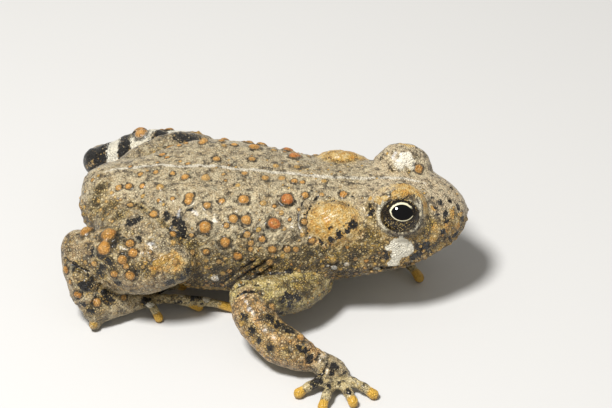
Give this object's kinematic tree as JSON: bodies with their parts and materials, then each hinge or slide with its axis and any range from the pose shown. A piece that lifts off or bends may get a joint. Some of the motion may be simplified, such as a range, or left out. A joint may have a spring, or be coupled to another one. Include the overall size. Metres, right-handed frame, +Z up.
{
  "type": "western toad",
  "caption": "Life-size still model of a young western toad sitting with its head raised, skin warty, one forelimb stretched out to the side.",
  "frame": {"origin": "on the floor, under the middle of the toad's footprint box", "axes": "+X the way the toad faces, +Y its left side, +Z up"},
  "size_m": [0.0546, 0.05, 0.0195],
  "materials": {
    "back_skin": "grey-beige warty skin, finely mottled, slightly moist",
    "belly_skin": "pale cream granular skin with dark mottling",
    "limb_skin": "tan and cream skin with dark bands and orange warts",
    "digit_skin": "yellow-cream skin with dark spots",
    "eye": "dark wet eye with gold flecks and a horizontal pupil"
  },
  "bodies": {
    "root": {"torso": "back_skin", "head": "back_skin", "lower_jaw": "belly_skin", "eye_left": "eye", "eye_right": "eye", "upper_arm_left": "limb_skin", "upper_arm_right": "limb_skin", "forearm_left": "limb_skin", "forearm_right": "limb_skin", "hand_left": "limb_skin", "hand_right": "limb_skin", "finger_1_left": "digit_skin", "finger_2_left": "digit_skin", "finger_3_left": "digit_skin", "finger_4_left": "digit_skin", "finger_1_right": "digit_skin", "finger_2_right": "digit_skin", "finger_3_right": "digit_skin", "finger_4_right": "digit_skin", "thigh_left": "limb_skin", "thigh_right": "limb_skin", "shank_left": "limb_skin", "shank_right": "limb_skin", "tarsus_left": "limb_skin", "tarsus_right": "limb_skin", "foot_left": "limb_skin", "foot_right": "limb_skin", "toe_1_left": "digit_skin", "toe_2_left": "digit_skin", "toe_3_left": "digit_skin", "toe_4_left": "digit_skin", "toe_5_left": "digit_skin", "toe_1_right": "digit_skin", "toe_2_right": "digit_skin", "toe_3_right": "digit_skin", "toe_4_right": "digit_skin", "toe_5_right": "digit_skin"}
  },
  "joints": []
}
